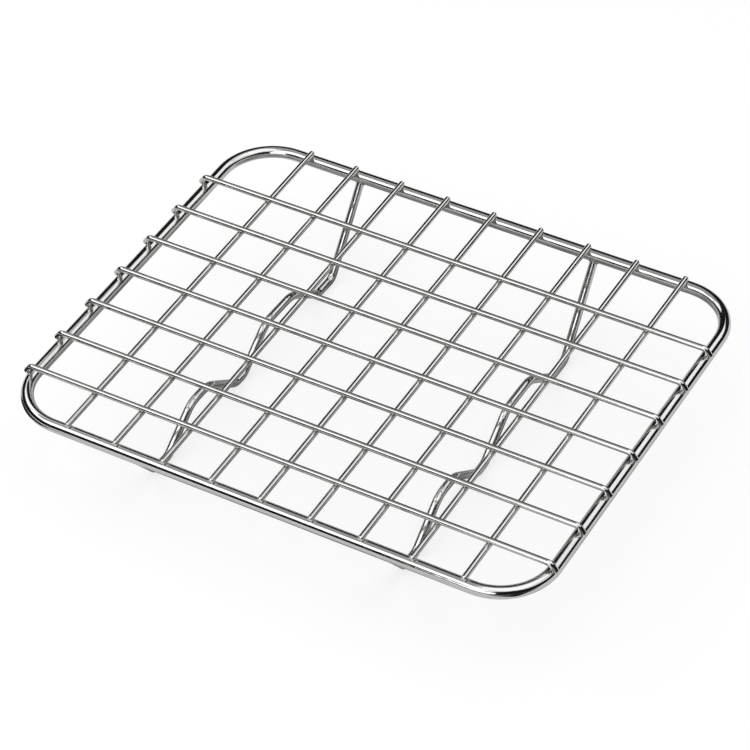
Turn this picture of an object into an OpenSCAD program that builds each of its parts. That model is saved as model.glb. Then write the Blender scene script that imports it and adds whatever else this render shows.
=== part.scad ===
// Grill rack: a square wire grid welded on a bent rod frame, standing on two zigzag foot wires.
// Length runs along X, depth along Y with the back at +Y, height along Z.
// The origin is on the table, under the middle of the frame.

/* [Frame rod] */
// Length of the frame, between the centre lines of the side rods
frame_len = 264; // [250:1:290]
// Depth of the frame, between the centre lines of the front and back rods
frame_depth = 213; // [210:1:225]
// Corner radius of the frame, on the centre line
corner_r = 26; // [20:1:34]
// Diameter of the frame rod
rod_d = 6; // [5:0.5:8]

/* [Grid wires] */
// Diameter of the grid wires
grid_d = 2.8; // [2.2:0.1:3.4]
// Distance between the centre lines of neighbouring wires, both ways
pitch = 25; // [20:0.5:25]
// How far the middle of the grid lies to the right of the middle of the frame
grid_shift_right = 2.5; // [-3:0.5:3]
// How far the middle of the grid lies in front of the middle of the frame
grid_shift_front = 9.5; // [0:0.5:10]
// How far a cross wire reaches past the centre line of the rod under it
overhang = 1.2; // [0.5:0.1:2]
// How deep a weld presses one wire into the next
weld_sink = 0.3; // [0.2:0.05:0.5]
// Height of the rounded tip on each wire end
tip_h = 0.8; // [0.4:0.1:1]
// Length of the hook that each end of a long wire makes over a side rod
hook_len = 5; // [5:0.1:7]
// Radius of the bend of that hook, on the centre line
hook_bend_r = 2.5; // [2.5:0.5:5]

/* [Foot wires] */
// Diameter of the foot wires
foot_d = 4; // [3:0.5:5]
// Clear height under the frame rod
clearance = 40; // [34:0.5:42]
// Level length of the front low bend
low_front = 5; // [2:0.5:6]
// Level length of the front high bend
high_front = 4; // [2:0.5:6]
// Level length of the middle low bend
low_mid = 3; // [2:0.5:4]
// Level length of the back high bend
high_back = 13; // [8:0.5:14]
// Level length of the back low bend
low_back = 8; // [4:0.5:9]
// Radius of the low bends, on the centre line
low_bend_r = 6; // [4:0.5:7]
// Radius of the high bends, on the centre line
high_bend_r = 14; // [8:0.5:15]
// How far the middle of the left foot wire lies to the right of the second cross wire
left_offset = -0.5; // [-2:0.5:3]
// Angle by which the left foot wire stands askew to the cross wires
left_skew = 2; // [0:0.1:3]
// How far the middle of the right foot wire lies to the right of the seventh cross wire
right_offset = 3; // [-2:0.5:3]
// Angle by which the right foot wire stands askew to the cross wires
right_skew = 0.5; // [0:0.1:3]

/* [Hidden] */
$fn = 48;
CROSS_WIRES = 9;
LONG_WIRES = 7;

// Heights of the centre lines, from the table up
foot_z = foot_d / 2;
rod_z = clearance + rod_d / 2;
cross_z = rod_z + rod_d / 2 + grid_d / 2 - weld_sink;
long_z = cross_z + grid_d - weld_sink;

// The two angles of a right-angled triangle with sides of 3, 4 and 5, used for all the bends
gentle = atan(3 / 4);
steep = atan(4 / 3);

// Distance between the centre lines of a long wire's hook and the side rod it rests on
hook_rest = rod_d / 2 + grid_d / 2 - weld_sink;
// From the centre line of the side rod out to the corner of the hook
hook_knee = (hook_rest - cos(steep) * (long_z - rod_z)) / sin(steep);

// A foot wire ends inside the centre lines of the front and back rods, and of their height
foot_inset = rod_d / 4;
foot_end_y = frame_depth / 2 - foot_inset;
foot_end_z = rod_z - foot_inset;
// Straight length of the steep legs at both ends of a foot wire, and their depth with the bend
leg = (foot_end_z - foot_z - low_bend_r * (1 - cos(steep))) / sin(steep);
leg_depth = leg * cos(steep) + low_bend_r * sin(steep);
// What is left between the legs is shared out over four equal flanks
levels = low_front + high_front + low_mid + high_back + low_back;
flank_depth = (2 * (foot_end_y - leg_depth) - levels) / 4;
flank = (flank_depth - (low_bend_r + high_bend_r) * sin(gentle)) / cos(gentle);

// Where each wire lies
function cross_x(i) = grid_shift_right + (i - (CROSS_WIRES + 1) / 2) * pitch;
function long_y(i) = -grid_shift_front + ((LONG_WIRES + 1) / 2 - i) * pitch;

// How far the centre line of the frame rod reaches out at a distance from the middle of the frame.
// half is half the frame's size the way it reaches, and half_across its half size the other way.
function rod_reach(half, half_across, distance) =
    let (past = max(0, abs(distance) - half_across + corner_r))
    half - corner_r + sqrt(corner_r * corner_r - past * past);

// A wire of diameter d from the origin along +X. Each step is [length, turn, radius]: a straight
// and then a bend, to the left where turn is positive. The last step is a straight only.
module wire(steps, d, end_h, i = 0) {
    length = steps[i][0];
    turn = steps[i][1];
    radius = steps[i][2];
    side = sign(turn);
    if (i == 0 && end_h > 0)
        rotate([0, 0, 180])
            tip(d, end_h);
    rotate([0, 90, 0])
        cylinder(h = length, d = d);
    if (i < len(steps) - 1)
        translate([length, side * radius, 0]) {
            rotate([0, 0, side > 0 ? -90 : 90 - abs(turn)])
                rotate_extrude(angle = abs(turn))
                    translate([radius, 0])
                        circle(d = d);
            rotate([0, 0, turn])
                translate([0, -side * radius, 0])
                    wire(steps, d, end_h, i + 1);
        }
    else if (end_h > 0)
        translate([length, 0, 0])
            tip(d, end_h);
}

// A rounded tip that starts at the origin and points along +X
module tip(d, h) {
    arc = [for (a = [0 : 22.5 : 90]) [d / 2 - h + h * cos(a), h * sin(a)]];
    rotate([0, 90, 0])
        rotate_extrude()
            polygon(concat([[0, 0]], arc, [[0, h]]));
}

// The rod round the edge, one loop with a bend at each corner
module frame_rod_shape(d) {
    x = frame_len / 2;
    y = frame_depth / 2;
    translate([0, 0, rod_z]) {
        for (s = [-1, 1]) {
            translate([-x + corner_r, s * y, 0])
                rotate([0, 90, 0])
                    cylinder(h = frame_len - 2 * corner_r, d = d);
            translate([s * x, y - corner_r, 0])
                rotate([90, 0, 0])
                    cylinder(h = frame_depth - 2 * corner_r, d = d);
        }
        for (q = [0 : 3]) {
            sx = q == 0 || q == 3 ? 1 : -1;
            sy = q < 2 ? 1 : -1;
            translate([sx * (x - corner_r), sy * (y - corner_r), 0])
                rotate([0, 0, 90 * q])
                    rotate_extrude(angle = 90)
                        translate([corner_r, 0])
                            circle(d = d);
        }
    }
}

module frame_rod() {
    color("gainsboro")
        frame_rod_shape(rod_d);
}

// Straight cross wire with rounded tips, seated on the front and back rods
module cross_wire(i) {
    reach = rod_reach(frame_depth / 2, frame_len / 2, cross_x(i)) + overhang - tip_h;
    color("silver")
        difference() {
            translate([cross_x(i), -reach, cross_z])
                rotate([0, 0, 90])
                    wire([[2 * reach, 0, 0]], grid_d, tip_h);
            frame_rod_shape(rod_d);
        }
}

// Long wire over the cross wires, pressed into each of them, both ends hooked over a side rod
module long_wire(i) {
    knee = rod_reach(frame_len / 2, frame_depth / 2, long_y(i)) + hook_knee;
    bend_trim = hook_bend_r * tan(steep / 2);
    straight = hook_len - tip_h;
    hook = [straight - bend_trim, -steep, hook_bend_r];
    level = [2 * (knee - bend_trim), -steep, hook_bend_r];
    start = [-knee - straight * cos(steep), long_z - straight * sin(steep)];
    color("silver")
        difference() {
            translate([0, long_y(i), 0])
                rotate([90, 0, 0])
                    translate(start)
                        rotate([0, 0, steep])
                            wire([hook, level, hook], grid_d, tip_h);
            frame_rod_shape(rod_d);
            for (j = [1 : CROSS_WIRES])
                translate([cross_x(j), long_y(i) + grid_d, cross_z])
                    rotate([90, 0, 0])
                        cylinder(h = 2 * grid_d, d = grid_d);
        }
}

// Steps of a foot wire from the front rod down, over two waves and up to the back rod
function foot_steps() = [
    [leg, steep, low_bend_r],
    [low_front, gentle, low_bend_r],
    [flank, -gentle, high_bend_r],
    [high_front, -gentle, high_bend_r],
    [flank, gentle, low_bend_r],
    [low_mid, gentle, low_bend_r],
    [flank, -gentle, high_bend_r],
    [high_back, -gentle, high_bend_r],
    [flank, gentle, low_bend_r],
    [low_back, steep, low_bend_r],
    [leg, 0, 0]
];

// Zigzag foot wire at x, turned by skew, its ends welded under the front and back rods
module foot_wire(x, skew) {
    color("lightgray")
        difference() {
            translate([x, 0, 0])
                rotate([0, 0, -skew])
                    rotate([90, 0, 90])
                        translate([-foot_end_y, foot_end_z])
                            rotate([0, 0, -steep])
                                wire(foot_steps(), foot_d, 0);
            frame_rod_shape(rod_d);
        }
}

module foot_wire_left() {
    foot_wire(cross_x(2) + left_offset, left_skew);
}

module foot_wire_right() {
    foot_wire(cross_x(7) + right_offset, right_skew);
}

frame_rod();
for (i = [1 : CROSS_WIRES])
    cross_wire(i);
for (i = [1 : LONG_WIRES])
    long_wire(i);
foot_wire_left();
foot_wire_right();
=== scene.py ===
# %% [markdown]
# # A welded wire grill rack in polished stainless steel
#
# The real rack is made from three sizes of drawn stainless wire. A thick rod is bent into a loop,
# thin wires are laid across it both ways and spot-welded where they cross, two zigzag wires are
# welded under it as feet, and the whole rack is then polished in an acid bath until it shines.
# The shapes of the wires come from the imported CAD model, which stays as it is. This script adds
# what makes it look real: the finish of drawn and polished wire, the small fillets of metal that
# each spot weld squeezes out, and a plain light studio.

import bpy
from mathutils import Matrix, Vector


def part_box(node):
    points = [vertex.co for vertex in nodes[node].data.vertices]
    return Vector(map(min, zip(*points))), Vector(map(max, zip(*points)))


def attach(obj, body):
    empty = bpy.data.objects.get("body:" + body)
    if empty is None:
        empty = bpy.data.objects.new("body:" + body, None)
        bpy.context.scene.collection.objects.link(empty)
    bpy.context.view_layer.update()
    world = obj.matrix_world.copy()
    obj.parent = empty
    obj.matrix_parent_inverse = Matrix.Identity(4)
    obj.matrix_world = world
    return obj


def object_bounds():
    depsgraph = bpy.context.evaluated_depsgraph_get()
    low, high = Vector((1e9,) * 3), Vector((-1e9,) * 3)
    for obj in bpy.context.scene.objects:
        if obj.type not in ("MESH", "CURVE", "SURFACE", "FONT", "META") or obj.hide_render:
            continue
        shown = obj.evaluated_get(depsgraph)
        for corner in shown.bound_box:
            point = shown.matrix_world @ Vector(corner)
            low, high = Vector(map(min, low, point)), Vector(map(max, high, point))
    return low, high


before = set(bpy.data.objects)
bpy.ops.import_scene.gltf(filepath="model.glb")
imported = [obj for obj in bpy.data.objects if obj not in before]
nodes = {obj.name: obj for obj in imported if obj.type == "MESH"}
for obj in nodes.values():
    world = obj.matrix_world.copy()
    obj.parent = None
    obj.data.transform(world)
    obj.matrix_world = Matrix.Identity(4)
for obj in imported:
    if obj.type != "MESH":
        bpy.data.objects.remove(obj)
cad_low, cad_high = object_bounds()
print("CAD box in mm:", [round(1000 * v, 1) for v in cad_high - cad_low])

# %% Names and units
import math

import bmesh
import bpy
from mathutils import Matrix, Vector

MM = 0.001


def numbered(family):
    """The nodes of one family of wires, in the order of their numbers."""
    names = [name for name in nodes if name.startswith(family)]
    return sorted(names, key=lambda name: int(name.rsplit("_", 1)[1]))


cross_wires = numbered("cross_wire_")
long_wires = numbered("long_wire_")
foot_wires = ["foot_wire_left", "foot_wire_right"]
for family in (cross_wires, long_wires, foot_wires):
    print(len(family), "wires, from", family[0], "to", family[-1])

# %% [markdown]
# ## Measure the rack
#
# The places that this script needs are measured on the CAD pieces, so that they always agree. A
# wire's diameter is the thickness of its box, and its centre line runs through the middle of that
# box. Only what no box shows is written down again, where it is needed: the height of the rounded
# wire tips, the radius of the foot wires, and the slope of the hooks and legs.

# %% Measure the wires
def middle(name):
    """The middle of the box of a CAD node."""
    low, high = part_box(name)
    return (low + high) / 2


def size(name):
    """The three sides of the box of a CAD node."""
    low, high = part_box(name)
    return high - low


rod_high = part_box("frame_rod")[1]
rod_radius = size("frame_rod").z / 2
rod_height = middle("frame_rod").z
rod_x = rod_high.x - rod_radius
rod_y = rod_high.y - rod_radius
wire_radius = size(cross_wires[0]).x / 2
cross_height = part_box(cross_wires[0])[1].z - wire_radius
cross_x = [middle(name).x for name in cross_wires]
long_y = [middle(name).y for name in long_wires]
weld_sink = rod_height + rod_radius + wire_radius - cross_height
print("rod", round(2000 * rod_radius, 2), "mm, grid wire", round(2000 * wire_radius, 2), "mm")
print("pressed into each other by", round(1000 * weld_sink, 2), "mm")

# %% [markdown]
# ## Nodes and colours
#
# A material is a small tree of nodes. One helper adds a node, sets its settings and its inputs,
# and links an input when the value given is an output of another node. A second helper turns a
# hex colour, as a colour picker shows it, into the linear values that the renderer works in.

# %% Add a node, turn a colour to linear
def add_node(tree, kind, inputs=None, **settings):
    """Adds a node of this kind. inputs maps a socket's name or number to a value or an output."""
    node = tree.nodes.new(kind)
    for name, value in settings.items():
        setattr(node, name, value)
    for key, value in (inputs or {}).items():
        if isinstance(value, bpy.types.NodeSocket):
            tree.links.new(value, node.inputs[key])
        else:
            node.inputs[key].default_value = value
    return node


def linear(hex_colour):
    """The linear RGBA colour of an sRGB hex colour such as "c8c8c6"."""
    channels = [int(hex_colour[i:i + 2], 16) / 255 for i in (0, 2, 4)]
    curve = [c / 12.92 if c <= 0.04045 else ((c + 0.055) / 1.055) ** 2.4 for c in channels]
    return (*curve, 1.0)


def new_material(name):
    """An empty material and its node tree, with an output and a Principled shader."""
    material = bpy.data.materials.new(name)
    material.use_nodes = True
    tree = material.node_tree
    tree.nodes.clear()
    shader = add_node(tree, "ShaderNodeBsdfPrincipled")
    add_node(tree, "ShaderNodeOutputMaterial", {"Surface": shader.outputs["BSDF"]})
    return material, tree, shader


# %% [markdown]
# ## Drawn and polished stainless wire
#
# The wire is austenitic stainless steel, pulled cold through a die. The die leaves fine lines
# along the wire, and the straightening rolls leave it very slightly wavy. Electropolishing then
# rounds the lines off and leaves a bright, almost mirror-like face.
#
# The eye reads three things from that: a bright core, dark edges that run true along the wire
# but waver a little, and a faint streaky grain along its length. The base colour is the neutral
# grey of stainless steel. The wavering comes from a broad, very low bump, and the grain from a
# noise that is stretched along the wire and changes the roughness, the grey and the height a
# little. Die lines are some 0.05 mm apart, too fine to show, so they are drawn 0.3 mm apart. The
# whole rack goes through one bath, so thick and thin wires come out almost equally smooth.

# %% Values of the polished wire
STAINLESS = linear("d8d8d7")
STAINLESS_DULL = linear("b6b6b5")
DULL_SHARE = 0.5  # how much of the dull grey the strongest streak has
GRAIN_ACROSS = 0.3 * MM
GRAIN_ALONG = 14 * MM
GRAIN_HEIGHT = 0.004 * MM
STREAK_RANGE = (0.35, 0.75)  # where a streak of the grain's noise begins and is strongest
WAVE = 9 * MM
WAVE_HEIGHT = 0.05 * MM
# Roughness between the streaks, and in the strongest one
ROD_ROUGH = (0.05, 0.13)
GRID_ROUGH = (0.05, 0.12)


def grain_scale(along):
    """How often the grain repeats in a metre along X, Y and Z, for a wire that runs along one."""
    across = 1 / GRAIN_ACROSS
    return tuple(1 / GRAIN_ALONG if axis == along else across for axis in "XYZ")


# %% [markdown]
# ### Heat marks
#
# A spot weld heats the wire to red for a moment. Polishing takes the scale off, and leaves a
# slightly duller and greyer patch some 2 mm to each side. The crossings are evenly spaced, so
# one formula gives the distance from any point to the nearest of them.

# %% Distance to the nearest weld
HEAT_NEAR = 0.6 * MM
HEAT_FAR = 2.6 * MM
HEAT_GREY = linear("b4b2ae")
HEAT_SHARE = 0.5  # how much of that grey the middle of a mark has
HEAT_ROUGHNESS = 0.08  # how much rougher the middle of a mark is


def heat_mask(tree, coordinate, places):
    """1 at each of some evenly spaced places along a coordinate, and 0 away from them."""
    places = sorted(places)
    last = float(len(places) - 1)
    spacing = (places[-1] - places[0]) / last
    from_first = add_node(
        tree, "ShaderNodeMath", {0: coordinate, 1: places[0]}, operation="SUBTRACT"
    ).outputs[0]
    steps = add_node(
        tree, "ShaderNodeMath", {0: from_first, 1: spacing}, operation="DIVIDE"
    ).outputs[0]
    whole = add_node(tree, "ShaderNodeMath", {0: steps}, operation="ROUND").outputs[0]
    nearest = add_node(
        tree, "ShaderNodeClamp", {"Value": whole, "Min": 0.0, "Max": last}
    ).outputs[0]
    apart = add_node(
        tree, "ShaderNodeMath", {0: steps, 1: nearest}, operation="SUBTRACT"
    ).outputs[0]
    apart = add_node(tree, "ShaderNodeMath", {0: apart}, operation="ABSOLUTE").outputs[0]
    distance = add_node(
        tree, "ShaderNodeMath", {0: apart, 1: spacing}, operation="MULTIPLY"
    ).outputs[0]
    ramp = add_node(
        tree, "ShaderNodeMapRange",
        {"Value": distance, "From Min": HEAT_NEAR, "From Max": HEAT_FAR,
         "To Min": 1.0, "To Max": 0.0},
        interpolation_type="SMOOTHSTEP",
    )
    return ramp.outputs["Result"]


# %% [markdown]
# ### The finish itself
#
# One function makes the finish for all wires, so that they look like one batch of steel. A wire
# that runs along X or Y gets its grain stretched that way. The frame rod and the foot wires
# bend, and their grain is an even, fine mottle instead, which is what the acid bath leaves.

# %% Make a polished wire finish
def polished_wire(name, roughness, along="", welds=()):
    """Electropolished drawn wire with grain along one axis, and heat marks at its welds."""
    material, tree, shader = new_material(name)
    place = add_node(tree, "ShaderNodeTexCoord").outputs["Object"]
    scaled = add_node(
        tree, "ShaderNodeVectorMath", {0: place, 1: grain_scale(along)}, operation="MULTIPLY"
    ).outputs[0]
    grain = add_node(
        tree, "ShaderNodeTexNoise",
        {"Vector": scaled, "Scale": 1.0, "Detail": 3.0, "Roughness": 0.6},
    ).outputs["Fac"]
    wave = add_node(
        tree, "ShaderNodeTexNoise", {"Vector": place, "Scale": 1 / WAVE, "Detail": 1.0}
    ).outputs["Fac"]
    begins, strongest = STREAK_RANGE
    streak = add_node(
        tree, "ShaderNodeMapRange", {"Value": grain, "From Min": begins, "From Max": strongest}
    ).outputs["Result"]
    between, within = roughness
    rough = add_node(
        tree, "ShaderNodeMapRange", {"Value": streak, "To Min": between, "To Max": within}
    ).outputs["Result"]
    share = add_node(
        tree, "ShaderNodeMath", {0: streak, 1: DULL_SHARE}, operation="MULTIPLY"
    ).outputs[0]
    steel = add_node(
        tree, "ShaderNodeMix", {0: share, 6: STAINLESS, 7: STAINLESS_DULL}, data_type="RGBA"
    ).outputs[2]
    if welds:
        axes = add_node(tree, "ShaderNodeSeparateXYZ", {"Vector": place})
        heat = heat_mask(tree, axes.outputs[along], welds)
        rougher = add_node(
            tree, "ShaderNodeMath", {0: heat, 1: HEAT_ROUGHNESS}, operation="MULTIPLY"
        ).outputs[0]
        rough = add_node(
            tree, "ShaderNodeMath", {0: rough, 1: rougher}, operation="ADD"
        ).outputs[0]
        share = add_node(
            tree, "ShaderNodeMath", {0: heat, 1: HEAT_SHARE}, operation="MULTIPLY"
        ).outputs[0]
        steel = add_node(
            tree, "ShaderNodeMix", {0: share, 6: steel, 7: HEAT_GREY}, data_type="RGBA"
        ).outputs[2]
    tree.links.new(rough, shader.inputs["Roughness"])
    tree.links.new(steel, shader.inputs["Base Color"])
    low_wave = add_node(
        tree, "ShaderNodeBump", {"Height": wave, "Distance": WAVE_HEIGHT, "Strength": 1.0}
    ).outputs["Normal"]
    fine_grain = add_node(
        tree, "ShaderNodeBump",
        {"Height": grain, "Distance": GRAIN_HEIGHT, "Strength": 1.0, "Normal": low_wave},
    ).outputs["Normal"]
    tree.links.new(fine_grain, shader.inputs["Normal"])
    shader.inputs["Metallic"].default_value = 1.0
    return material


# %% Dress the CAD wires
def dress(names, material):
    """Puts a material on every slot of some CAD nodes."""
    for name in names:
        for slot in nodes[name].material_slots:
            slot.material = material
    print(material.name, "on", len(names), "nodes")


front_to_back = polished_wire("polished_stainless_cross_wire", GRID_ROUGH, "Y", long_y)
left_to_right = polished_wire("polished_stainless_long_wire", GRID_ROUGH, "X", cross_x)
dress(cross_wires, front_to_back)
dress(long_wires, left_to_right)
dress(["frame_rod"], polished_wire("polished_stainless_frame_rod", ROD_ROUGH))
dress(foot_wires, polished_wire("polished_stainless_foot_wire", ROD_ROUGH))

# %% [markdown]
# ## Spot welds
#
# Where two round wires are pressed together and welded, some of the soft metal is squeezed out
# and freezes as a small hollow fillet in the crevice around the joint. From a step away it is
# what makes the crossings look welded and not just laid on each other.
#
# It could be painted on with a bump, but the crevice is real space between two curved surfaces,
# so a real ring of metal that fills it looks right from every side. The ring is worked out from
# the two wires: at each angle round the joint, a search finds how far out the gap between them
# has grown to the width that the weld fills. Where the upper wire stops just past the joint, the
# search meets its rounded tip, and the ring closes under that tip.

# %% Heights of two crossing wires
TIP = 0.8 * MM  # height of the rounded tip on a wire's end
FAR_OFF = 1.0  # metres, well beyond the rack


def drop(radius, offset):
    """Height of a round wire's surface over its centre line, at an offset to the side."""
    return math.sqrt(max(radius * radius - offset * offset, 0.0))


def underside(upper, apart, end, x, y):
    """Height of the upper wire's underside at x, y. The wire is rounded off where it ends."""
    if x >= end:
        return FAR_OFF
    into_tip = max(x - end + TIP, 0.0)
    radius = upper - TIP + drop(TIP, into_tip)
    return apart - drop(radius, y)


def crevice(joint, x, y):
    """(height of the lower wire's top, height of the upper wire's underside) at x, y.
    The lower wire runs along Y through the origin, and the upper wire along X over it."""
    upper, lower, apart, end, _ = joint
    return drop(lower, x), underside(upper, apart, end, x, y)


# %% How far out the gap has grown
SEARCH_STEPS = 30
SEARCH_SHARE = 0.98  # of the lower wire's radius, the furthest that a weld may reach


def reach_at(joint, angle, gap):
    """How far out from the middle of the joint the wires are a gap apart, found by halving."""
    _, lower, _, _, centre = joint
    near, far = 0.0, SEARCH_SHARE * lower
    for _ in range(SEARCH_STEPS):
        mid = (near + far) / 2
        low, high = crevice(joint, centre + mid * math.cos(angle), mid * math.sin(angle))
        if high - low < gap:
            near = mid
        else:
            far = mid
    return (near + far) / 2


# %% [markdown]
# The ring is closed like a tyre. Its outer side is hollow, from the lower wire up to the upper
# one, its inner side is hidden between them, and its lips are tucked into both by a few
# hundredths of a millimetre, so that no crack shows.

# %% Build one weld ring
RING_STEPS = 28
ARC_STEPS = 5
FILLET_TUCK = 0.03 * MM
HOLLOW = 0.45  # how far the face is pulled in, as a share of its width or depth
INNER_SHARE = 0.97  # how far out the hidden inner edge is, as a share of the joint's reach
LIP_LIMIT = 1.5  # how high a fillet may climb, in gaps


def add_rows(mesh, rows):
    """Joins rows of points into a closed tyre of quads."""
    for row, following in zip(rows, rows[1:] + rows[:1]):
        for k in range(len(row)):
            after = (k + 1) % len(row)
            mesh.faces.new((row[k], following[k], following[after], row[after]))


def weld_ring(mesh, place, upper, lower, gap, end=FAR_OFF):
    """Adds the fillet round one joint. place maps the joint's own axes, which have their origin
    on the lower wire's centre line, to the rack. end is where the upper wire stops."""
    apart = upper + lower - weld_sink
    touch = math.sqrt(lower ** 2 - (apart - upper) ** 2)
    centre = (min(end, touch) - touch) / 2
    joint = (upper, lower, apart, end, centre)
    rows = []
    for step in range(RING_STEPS):
        angle = 2 * math.pi * step / RING_STEPS
        inner = reach_at(joint, angle, 0.0)
        outer = max(reach_at(joint, angle, gap), inner + FILLET_TUCK)
        cos, sin = math.cos(angle), math.sin(angle)
        low, high = crevice(joint, centre + outer * cos, outer * sin)
        high = min(high, low + LIP_LIMIT * gap)
        row = []
        for k in range(ARC_STEPS + 1):
            share = k / ARC_STEPS
            out = outer - HOLLOW * (outer - inner) * math.sin(math.pi * share)
            height = low - FILLET_TUCK + share * (high - low + 2 * FILLET_TUCK)
            row.append(mesh.verts.new(place @ Vector((centre + out * cos, out * sin, height))))
        inner *= INNER_SHARE
        back_low, back_high = crevice(joint, centre + inner * cos, inner * sin)
        back = Vector((centre + inner * cos, inner * sin, (back_low + back_high) / 2))
        row.append(mesh.verts.new(place @ back))
        rows.append(row)
    add_rows(mesh, rows)


# %% Turn a built mesh into a piece of the rack
def finish_piece(name, mesh, material):
    """Makes an object of a built mesh, smooth, in its place, and riding with the rack."""
    bmesh.ops.recalc_face_normals(mesh, faces=mesh.faces)
    data = bpy.data.meshes.new(name)
    mesh.to_mesh(data)
    mesh.free()
    for face in data.polygons:
        face.use_smooth = True
    piece = bpy.data.objects.new(name, data)
    bpy.context.scene.collection.objects.link(piece)
    data.materials.append(material)
    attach(piece, "root")
    print(name, "has", len(data.polygons), "faces")


# %% [markdown]
# ### Weld metal
#
# The squeezed-out metal froze freely, so its skin is a little rougher and greyer than the drawn
# wire, and uneven in patches of under a millimetre. One noise drives all three.

# %% Make the weld metal
WELD_GREY = linear("9a9997")
WELD_BRIGHT = linear("c6c5c3")
WELD_PATCH = 0.8 * MM
WELD_HEIGHT = 0.03 * MM
WELD_ROUGH = (0.16, 0.34)


def weld_metal():
    """Freely frozen stainless steel, dimly polished."""
    material, tree, shader = new_material("weld_metal_stainless")
    place = add_node(tree, "ShaderNodeTexCoord").outputs["Object"]
    patches = add_node(
        tree, "ShaderNodeTexNoise", {"Vector": place, "Scale": 1 / WELD_PATCH, "Detail": 2.0}
    ).outputs["Fac"]
    colour = add_node(
        tree, "ShaderNodeMix", {0: patches, 6: WELD_GREY, 7: WELD_BRIGHT}, data_type="RGBA"
    ).outputs[2]
    tree.links.new(colour, shader.inputs["Base Color"])
    smooth, dull = WELD_ROUGH
    rough = add_node(
        tree, "ShaderNodeMapRange", {"Value": patches, "To Min": smooth, "To Max": dull}
    ).outputs["Result"]
    tree.links.new(rough, shader.inputs["Roughness"])
    bump = add_node(
        tree, "ShaderNodeBump", {"Height": patches, "Distance": WELD_HEIGHT, "Strength": 1.0}
    ).outputs["Normal"]
    tree.links.new(bump, shader.inputs["Normal"])
    shader.inputs["Metallic"].default_value = 1.0
    return material


weld_steel = weld_metal()

# %% [markdown]
# ### Welds in the grid and on the frame
#
# Every long wire is welded to every cross wire, and every cross wire to the front and the back of
# the frame. In a joint's own axes the lower wire runs along Y, and the upper wire's end, where it
# has one, points along +X. A turn about Z brings these axes to their place in the rack.

# %% Weld the grid
GRID_GAP = 0.28 * MM

grid = bmesh.new()
for x in cross_x:
    for y in long_y:
        place = Matrix.Translation((x, y, cross_height))
        weld_ring(grid, place, wire_radius, wire_radius, GRID_GAP)
finish_piece("welds_in_grid", grid, weld_steel)

# %% Weld the cross wires to the frame
FRAME_GAP = 0.36 * MM

ends = bmesh.new()
for name, x in zip(cross_wires, cross_x):
    low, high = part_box(name)
    for side, tip_y in ((-1, low.y), (1, high.y)):
        place = Matrix.Translation((x, side * rod_y, rod_height))
        place = place @ Matrix.Rotation(side * math.pi / 2, 4, "Z")
        end = side * tip_y - rod_y
        weld_ring(ends, place, wire_radius, rod_radius, FRAME_GAP, end)
print("the cross wires end", round(1000 * end, 2), "mm past the middle of the rod")
finish_piece("welds_on_front_and_back", ends, weld_steel)

# %% [markdown]
# ### Welds under the hooks
#
# The long wires lie one wire higher than the cross wires, so their ends are bent down to reach
# the side rods. Each hook rests on the outer shoulder of the rod, a little off the top, and ends
# just there. It slopes down by the steeper angle of a triangle with sides of 3, 4 and 5. Near a
# corner of the frame the rod already curves inwards, so the place of each joint is measured back
# from the end of its own wire.

# %% Weld the hooks
STEEP = math.atan2(4, 3)
HOOK_GAP = 0.3 * MM

# The tip is the outermost point of the wire, and its middle lies on the hook's centre line
hook_height = rod_radius + wire_radius - weld_sink
tip_out = (hook_height + wire_radius - TIP) * math.sin(STEEP)
hook_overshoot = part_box(long_wires[0])[1].x - rod_x
hook_end = (hook_overshoot - tip_out - TIP * (1 - math.cos(STEEP))) / math.cos(STEEP)
print("the hooks end", round(1000 * hook_end, 2), "mm past the middle of their joints")

hooks = bmesh.new()
for name, y in zip(long_wires, long_y):
    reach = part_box(name)[1].x - hook_overshoot
    for side in (-1, 1):
        place = Matrix.Translation((side * reach, y, rod_height))
        place = place @ Matrix.Rotation(0 if side > 0 else math.pi, 4, "Z")
        place = place @ Matrix.Rotation(STEEP, 4, "Y")
        weld_ring(hooks, place, wire_radius, rod_radius, HOOK_GAP, hook_end)
finish_piece("welds_on_sides", hooks, weld_steel)

# %% [markdown]
# ### Welds at the feet
#
# A foot wire meets the frame rod end-on, from below and at a slant. Its weld is a collar: a
# fillet that runs round the wire where it dips into the rod. The collar's inner edge follows the
# wire, its outer edge lies on the rod, and the face between them is hollow.

# %% Build one foot collar
COLLAR = 0.9 * MM
COLLAR_NARROWING = 0.35  # how much narrower the collar is where the rod falls away
COLLAR_INNER_SHARE = 0.9  # where its hidden inner edge is, as a share of the wire's radius


def foot_collar(mesh, place, wire, rod, off_axis):
    """Adds the fillet where a wire that runs up along Z meets a rod that lies along X, with the
    rod's centre line off_axis to the side of the wire's centre line."""
    def rod_face(y):
        return -drop(rod, y - off_axis)

    rows = []
    for step in range(RING_STEPS):
        angle = 2 * math.pi * step / RING_STEPS
        cos, sin = math.cos(angle), math.sin(angle)
        seam = rod_face(wire * sin)
        wide = wire + COLLAR * (1 - COLLAR_NARROWING * abs(sin))
        slim = wire - FILLET_TUCK
        inner = COLLAR_INNER_SHARE * wire
        foot = Vector((slim * cos, slim * sin, seam - COLLAR))
        lip = Vector((wide * cos, wide * sin, rod_face(wide * sin) + FILLET_TUCK))
        corner = Vector((wire * cos, wire * sin, seam))
        row = []
        for k in range(ARC_STEPS + 1):
            share = k / ARC_STEPS
            chord = foot.lerp(lip, share)
            face = chord.lerp(corner, HOLLOW * math.sin(math.pi * share))
            row.append(mesh.verts.new(place @ face))
        inside = Vector((inner * cos, inner * sin, seam + 2 * FILLET_TUCK))
        row.append(mesh.verts.new(place @ inside))
        rows.append(row)
    add_rows(mesh, rows)


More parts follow.
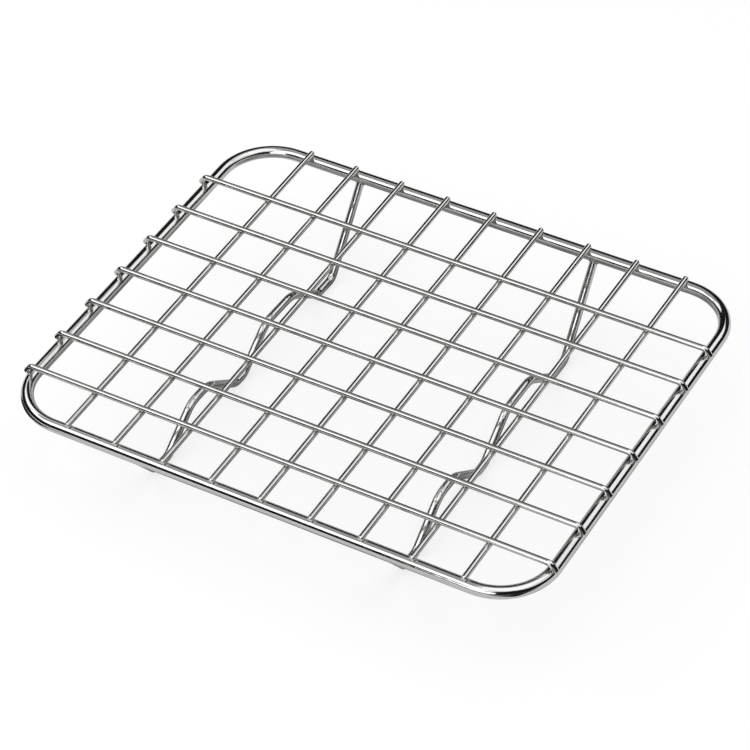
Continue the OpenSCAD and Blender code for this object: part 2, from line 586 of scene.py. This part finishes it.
# %% [markdown]
# The top of each leg is found on the foot's own mesh. The middle of the points that lie furthest
# to the front or the back is the side-to-side place of the joint, and the line between a foot's
# two joints says how far the foot stands askew. The leg's centre line ends a quarter of the rod's
# diameter inside the rod's centre line, and as much below it, and has the same slope as the hooks.

# %% Weld the feet
FOOT_RADIUS = 2 * MM
LEG_TOP = 3 * MM  # how deep the points lie that are taken for the top of a leg
leg_inset = rod_radius / 2

feet = bmesh.new()
for name in foot_wires:
    points = [vertex.co for vertex in nodes[name].data.vertices]
    joint_x = {}
    for side in (-1, 1):
        edge = max(side * point.y for point in points)
        top = [point.x for point in points if side * point.y > edge - LEG_TOP]
        joint_x[side] = (min(top) + max(top)) / 2
    skew = math.atan2(joint_x[1] - joint_x[-1], 2 * (rod_y - leg_inset))
    for side in (-1, 1):
        leg = Vector((0.0, side * math.cos(STEEP), math.sin(STEEP)))
        along_rod = Vector((side, 0.0, 0.0))
        across = leg.cross(along_rod)
        leg_end = Vector((joint_x[side], side * (rod_y - leg_inset), rod_height - leg_inset))
        rod_middle = Vector((joint_x[side], side * rod_y, rod_height))
        origin = leg_end + (rod_middle - leg_end).dot(leg) * leg
        own_axes = Matrix((along_rod, across, leg)).transposed().to_4x4()
        turn = Matrix.Rotation(-skew, 4, "Z") @ own_axes
        off_axis = (rod_middle - origin).dot(across)
        foot_collar(feet, Matrix.Translation(origin) @ turn, FOOT_RADIUS, rod_radius, off_axis)
    print(name, "stands", round(math.degrees(skew), 2), "degrees askew")
finish_piece("welds_on_feet", feet, weld_steel)

# %% [markdown]
# ## Floor and light
#
# Polished wire has no colour of its own to show: it shows its surroundings. So half of its look is
# made here, out of white paper, soft boxes and cards. The photograph is on white, and the dark
# lines along the wires say that there were dark things round the rack, so dark card stands there.
#
# The floor is matt white paper. Most of its white is a glow that only the camera and mirrored rays
# see, so the background reads as white with no more light on the rack. The rest takes light, so
# the rack keeps its shadow. From below the paper is clear.

# %% Lay the floor
FLOOR_SIDE = 24.0
FLOOR_WHITE = linear("fafafa")
PAPER_WHITE = linear("ffffff")
PAPER_ROUGHNESS = 0.9
GLOW_SHARE = 0.7


def seen_or_mirrored(tree):
    """1 for rays from the camera and for rays mirrored or let through by an object, else 0."""
    path = add_node(tree, "ShaderNodeLightPath").outputs
    seen = path["Is Camera Ray"]
    for kind in ("Is Glossy Ray", "Is Transmission Ray"):
        seen = add_node(
            tree, "ShaderNodeMath", {0: seen, 1: path[kind]}, operation="MAXIMUM"
        ).outputs[0]
    return seen


def surface_of(tree):
    """The socket of a material's output that takes its surface."""
    output = next(node for node in tree.nodes if node.type == "OUTPUT_MATERIAL")
    return output.inputs["Surface"]


def white_floor():
    """Matt white paper that keeps the shadows but reads as a white background."""
    material, tree, shader = new_material("white_paper_floor")
    shader.inputs["Base Color"].default_value = FLOOR_WHITE
    shader.inputs["Roughness"].default_value = PAPER_ROUGHNESS
    shader.inputs["Specular IOR Level"].default_value = 0.0
    glow = add_node(tree, "ShaderNodeEmission", {"Color": PAPER_WHITE, "Strength": 1.0})
    share = add_node(
        tree, "ShaderNodeMath", {0: seen_or_mirrored(tree), 1: GLOW_SHARE}, operation="MULTIPLY"
    ).outputs[0]
    paper = add_node(
        tree, "ShaderNodeMixShader", {0: share, 1: shader.outputs[0], 2: glow.outputs[0]}
    ).outputs[0]
    clear = add_node(tree, "ShaderNodeBsdfTransparent").outputs[0]
    under = add_node(tree, "ShaderNodeNewGeometry").outputs["Backfacing"]
    both = add_node(tree, "ShaderNodeMixShader", {0: under, 1: paper, 2: clear}).outputs[0]
    tree.links.new(both, surface_of(tree))
    return material


def stage_mesh(name, mesh, material):
    """Makes a piece of the set, which isn't part of the rack."""
    data = bpy.data.meshes.new(name)
    mesh.to_mesh(data)
    mesh.free()
    data.materials.append(material)
    piece = bpy.data.objects.new(name, data)
    bpy.context.scene.collection.objects.link(piece)
    print("the set has a", name)
    return piece


floor_mesh = bmesh.new()
bmesh.ops.create_grid(floor_mesh, x_segments=1, y_segments=1, size=FLOOR_SIDE / 2)
floor = stage_mesh("floor", floor_mesh, white_floor())
floor.location.z = cad_low.z

# %% [markdown]
# ### Upright cards
#
# The cards stand all round on a circle, and the list says between which two heights, in degrees
# over the rack's horizon. Black card is low behind to the right, where the sides of the wires pick
# up their bright core, and high behind to the left, where their black edge comes from. Grey card
# stands over it there. Only mirrored rays meet the cards, so they shade nothing and are never
# seen.

# %% Find the height of the black card
# (direction in degrees round from +X towards +Y, bottom and top of the black card in degrees)
BLACK_BANDS = [
    (-150, 2, 37), (-115, 2, 36), (-85, 2, 38), (-70, 2, 50), (-40, 0.1, 52), (-20, 0.1, 38),
    (10, 3, 32), (42, 4, 33), (55, 4, 36), (75, 2, 38), (94, 0.1, 40), (106, 0.1, 50),
    (116, 0.1, 51), (124, 0.1, 49), (132, 0.1, 46), (140, 0.1, 42), (150, 0.1, 36),
    (165, 0.1, 33), (180, 0.1, 33), (210, 2, 37),
]


def black_at(direction):
    """The bottom and the top of the black card in a direction, from the nearest two of the list."""
    for (start, *band), (stop, *next_band) in zip(BLACK_BANDS, BLACK_BANDS[1:]):
        if direction <= stop:
            share = (direction - start) / (stop - start)
            return [low + (high - low) * share for low, high in zip(band, next_band)]


# %% Make a card
CARD_DISTANCE = 1.0
CARD_STEPS = 120


def on_circle(direction, elevation, distance):
    """A point of a card, seen from the rack in a direction and at an elevation in degrees."""
    around, height = math.radians(direction), math.tan(math.radians(elevation))
    return distance * Vector((math.cos(around), math.sin(around), height))


def card_material(name, colour, strength=1.0):
    """An evenly lit card in one grey, with its tree and its glow."""
    material, tree, shader = new_material(name)
    glow = add_node(tree, "ShaderNodeEmission", {"Color": linear(colour), "Strength": strength})
    tree.links.new(glow.outputs[0], surface_of(tree))
    tree.nodes.remove(shader)
    return material, tree, glow


def show_in_mirrors_only(piece):
    """Hides a card from the camera and from soft light, and takes its shadow away."""
    piece.visible_camera = False
    piece.visible_diffuse = False
    piece.visible_shadow = False


def card(name, start, stop, band_at, colour, strength=1.0, distance=CARD_DISTANCE):
    """An upright card from one direction round to another. band_at gives its bottom and top."""
    mesh = bmesh.new()
    directions = [start + (stop - start) * step / CARD_STEPS for step in range(CARD_STEPS + 1)]
    columns = [
        [mesh.verts.new(on_circle(d, level, distance)) for level in band_at(d)]
        for d in directions
    ]
    for (low, high), (next_low, next_high) in zip(columns, columns[1:]):
        mesh.faces.new((low, next_low, next_high, high))
    show_in_mirrors_only(stage_mesh(name, mesh, card_material(name, colour, strength)[0]))


# %% Stand the black and the grey card
BLACK = "1e1e1e"
GREY = "b0b0b0"
GREY_FROM, GREY_TO = 102, 195
GREY_BAND = (50, 66)

card("black_card", BLACK_BANDS[0][0], BLACK_BANDS[-1][0], black_at, BLACK)
card("grey_card", GREY_FROM, GREY_TO, lambda direction: GREY_BAND, GREY)

# %% [markdown]
# The steep legs at the back of the feet mirror what stands in front of the rack, low down. A
# white reflector just before the black card there gives them their bright core.

# %% Stand the reflector
REFLECTOR_FROM, REFLECTOR_TO = -104, -67
REFLECTOR_BAND = (13, 33)
REFLECTOR_STRENGTH = 2.4
REFLECTOR_DISTANCE = 0.97

card(
    "front_reflector", REFLECTOR_FROM, REFLECTOR_TO, lambda direction: REFLECTOR_BAND, "ffffff",
    REFLECTOR_STRENGTH, REFLECTOR_DISTANCE,
)

# %% [markdown]
# ### Level cards
#
# One grey card hangs overhead on the left, where the tops of the long wires mirror it. Two dark
# cards lie on the floor, off the right corner at the front and beside the front half of the left
# rod, because the rod's outer side is dark there.

# %% Hang and lay the level cards
# (name, front left corner and back right corner, height over the floor, colour)
LEVEL_CARDS = [
    ("grey_card_overhead", (-1.5, -0.9), (-0.4, 0.9), 1.8, "b1b1b1"),
    ("black_card_front_right", (0.16, -0.6), (0.7, -0.13), 2 * MM, BLACK),
    ("black_card_left", (-0.75, -0.25), (-0.155, -0.075), 2 * MM, "2a2a2a"),
]

for name, low, high, height, colour in LEVEL_CARDS:
    mesh = bmesh.new()
    corners = [(low[0], low[1]), (high[0], low[1]), (high[0], high[1]), (low[0], high[1])]
    mesh.faces.new([mesh.verts.new((x, y, cad_low.z + height)) for x, y in corners])
    show_in_mirrors_only(stage_mesh(name, mesh, card_material(name, colour)[0]))

# %% [markdown]
# ### The painted shadow under the rack
#
# One more card lies under the rack. It is a painted shadow: a grey sheet that stands in for the
# rack's shadow on the floor, as mirrored rays see it. The inner sides of the rods and the
# undersides of all the thin wires mirror the floor there, and in the photograph they are dark,
# while the outer sides of the front and right rods, which mirror the floor outside the rack, are
# light. So the card is dark under the rack, light grey around it, and fades out to the white floor.
# It is an oval, because the corners of the rod mirror a lighter floor. Its painted shadow is
# mottled, like a floor under the mixed shadows of so many wires, and the mottle breaks up the
# mirrored bands.

# %% Lay the painted shadow under the rack
CARD_HEIGHT = 1 * MM
# Painted shadow: the dark and light greys of the rack's shadow on the floor, seen only in mirrored
# rays
PAINTED_SHADOW_DARK = linear("505050")
PAINTED_SHADOW_LIGHT = linear("b4b4b4")
SHADOW_PATCH_SIZE = 35 * MM
SHADOW_PATCH_RANGE = (0.35, 0.65)
CARD_HALF = (0.138, 0.112)  # half the length and half the depth of the solid part
# In multiples of CARD_HALF: the near fade ends at the first, and the far fade at the second
NEAR_FADE = 1.4
FAR_FADE = 6.0
FAR_COVER = 0.38  # how much the card covers where the far fade begins


def mottled_painted_shadow(tree, place):
    """The colour of the painted shadow, in soft dark and light patches."""
    noise = add_node(
        tree, "ShaderNodeTexNoise", {"Vector": place, "Scale": 1 / SHADOW_PATCH_SIZE, "Detail": 2.0}
    ).outputs["Fac"]
    dark, light = SHADOW_PATCH_RANGE
    mottle = add_node(
        tree, "ShaderNodeMapRange", {"Value": noise, "From Min": dark, "From Max": light}
    ).outputs["Result"]
    return add_node(
        tree, "ShaderNodeMix", {0: mottle, 6: PAINTED_SHADOW_DARK, 7: PAINTED_SHADOW_LIGHT}, data_type="RGBA"
    ).outputs[2]


def painted_shadow_cover(tree, place):
    """1 in the solid part of the painted shadow, fading out to 0 in two steps around it."""
    halves = add_node(
        tree, "ShaderNodeVectorMath", {0: place, 1: (*CARD_HALF, 1.0)}, operation="DIVIDE"
    ).outputs[0]
    away = add_node(tree, "ShaderNodeVectorMath", {0: halves}, operation="LENGTH").outputs["Value"]
    cover = 0.0
    for start, stop, most in ((1.0, NEAR_FADE, 1.0), (NEAR_FADE, FAR_FADE, FAR_COVER)):
        fade = add_node(
            tree, "ShaderNodeMapRange",
            {"Value": away, "From Min": start, "From Max": stop, "To Min": most, "To Max": 0.0},
            interpolation_type="SMOOTHSTEP",
        ).outputs["Result"]
        cover = add_node(
            tree, "ShaderNodeMath", {0: fade, 1: cover}, operation="MAXIMUM"
        ).outputs[0]
    return cover


# The painted shadow under the rack: a mottled grey card that only mirrored rays meet
painted_shadow_card, tree, glow = card_material("painted_shadow_under_rack", "ffffff")
place = add_node(tree, "ShaderNodeTexCoord").outputs["Object"]
tree.links.new(mottled_painted_shadow(tree, place), glow.inputs["Color"])
clear = add_node(tree, "ShaderNodeBsdfTransparent").outputs[0]
cover = painted_shadow_cover(tree, place)
mix = add_node(tree, "ShaderNodeMixShader", {0: cover, 1: clear, 2: glow.outputs[0]})
tree.links.new(mix.outputs[0], surface_of(tree))

mesh = bmesh.new()
bmesh.ops.create_grid(mesh, x_segments=1, y_segments=1, size=max(CARD_HALF) * FAR_FADE)
piece = stage_mesh("painted_shadow_under_rack", mesh, painted_shadow_card)
piece.location.z = cad_low.z + CARD_HEIGHT
show_in_mirrors_only(piece)

# %% [markdown]
# ### Soft boxes
#
# Four soft boxes light the rack. A rendered lamp lets mirrored rays on to what is behind it, which
# would add the white studio to the lamp. A real soft box has a black back, and so have these.

# %% Light the set
LAMP_DISTANCE = 1.7
BACK_GAP = 0.02
# (name, direction and elevation in degrees, width and depth in metres, brightness where 1 is white)
SOFT_BOXES = [
    ("front_soft_box", -128, 49.5, 2.4, 0.9, 2.1),
    ("back_soft_box", 78, 46, 1.2, 0.5, 1.3),
    ("overhead_soft_box", 10, 78, 1.3, 1.3, 1.5),
    ("left_soft_box", 160, 43, 0.7, 0.4, 1.6),
]

for name, direction, elevation, width, depth, brightness in SOFT_BOXES:
    data = bpy.data.lights.new(name, "AREA")
    data.shape = "RECTANGLE"
    data.size = width
    data.size_y = depth
    data.energy = brightness * math.pi * width * depth
    lamp = bpy.data.objects.new(name, data)
    around, up = math.radians(direction), math.radians(elevation)
    flat = math.cos(up)
    towards = Vector((math.cos(around) * flat, math.sin(around) * flat, math.sin(up)))
    lamp.location = (cad_low + cad_high) / 2 + LAMP_DISTANCE * towards
    lamp.rotation_euler = towards.to_track_quat("Z", "Y").to_euler()
    bpy.context.scene.collection.objects.link(lamp)
    mesh = bmesh.new()
    bmesh.ops.create_grid(mesh, x_segments=1, y_segments=1, size=0.5)
    bmesh.ops.scale(mesh, vec=(width, depth, 1.0), verts=mesh.verts)
    back = stage_mesh(name + "_back", mesh, card_material(name + "_back", "000000")[0])
    back.location = lamp.location + BACK_GAP * towards
    back.rotation_euler = lamp.rotation_euler
    show_in_mirrors_only(back)

# %% [markdown]
# ### The world
#
# Around all this the world is white for the camera and in mirrored rays. The soft light that it
# gives from all sides is half as bright, so that the shadow on the floor doesn't drown in it.

# %% Make the world
WORLD_FILL = 0.5

world = bpy.data.worlds.new("white_studio")
bpy.context.scene.world = world
world.use_nodes = True
sky = world.node_tree
sky.nodes.clear()
strength = add_node(
    sky, "ShaderNodeMath", {0: seen_or_mirrored(sky), 1: WORLD_FILL}, operation="MAXIMUM"
).outputs[0]
background = add_node(sky, "ShaderNodeBackground", {"Color": PAPER_WHITE, "Strength": strength})
add_node(sky, "ShaderNodeOutputWorld", {"Surface": background.outputs[0]})
print("the world's soft light is", WORLD_FILL, "of white")

# %% [markdown]
# ## Camera
#
# The camera's place was worked out from the square grid: its lines give the direction from which
# the rack was seen, how far away the camera was, and how little the view narrows with distance.
# It looks down over the front right corner, with a long lens and a slight tilt.

# %% Set up the camera
VIEW_AZIMUTH = math.radians(31.61)
VIEW_ELEVATION = math.radians(42.99)
VIEW_TILT = math.radians(-2.84)
VIEW_DISTANCE = 1.4446
AIM = Vector((0.0075, -0.0156, 0.0471))
LENS = 154.7  # focal length and sensor width in mm
SENSOR = 36.0

level = Vector((math.cos(VIEW_AZIMUTH), math.sin(VIEW_AZIMUTH), 0.0))
ahead = Vector((
    -math.sin(VIEW_AZIMUTH) * math.cos(VIEW_ELEVATION),
    math.cos(VIEW_AZIMUTH) * math.cos(VIEW_ELEVATION),
    -math.sin(VIEW_ELEVATION),
))
upright = level.cross(ahead)
right = math.cos(VIEW_TILT) * level + math.sin(VIEW_TILT) * upright
up = math.cos(VIEW_TILT) * upright - math.sin(VIEW_TILT) * level
camera_data = bpy.data.cameras.new("camera")
camera_data.lens = LENS
camera_data.sensor_width = SENSOR
camera = bpy.data.objects.new("camera", camera_data)
camera.rotation_mode = "QUATERNION"
camera.rotation_quaternion = Matrix((right, up, -ahead)).transposed().to_quaternion()
camera.location = AIM - VIEW_DISTANCE * ahead
bpy.context.scene.collection.objects.link(camera)
bpy.context.scene.camera = camera
bpy.context.scene.view_settings.view_transform = "Standard"
print("camera at", [round(v, 4) for v in camera.location])
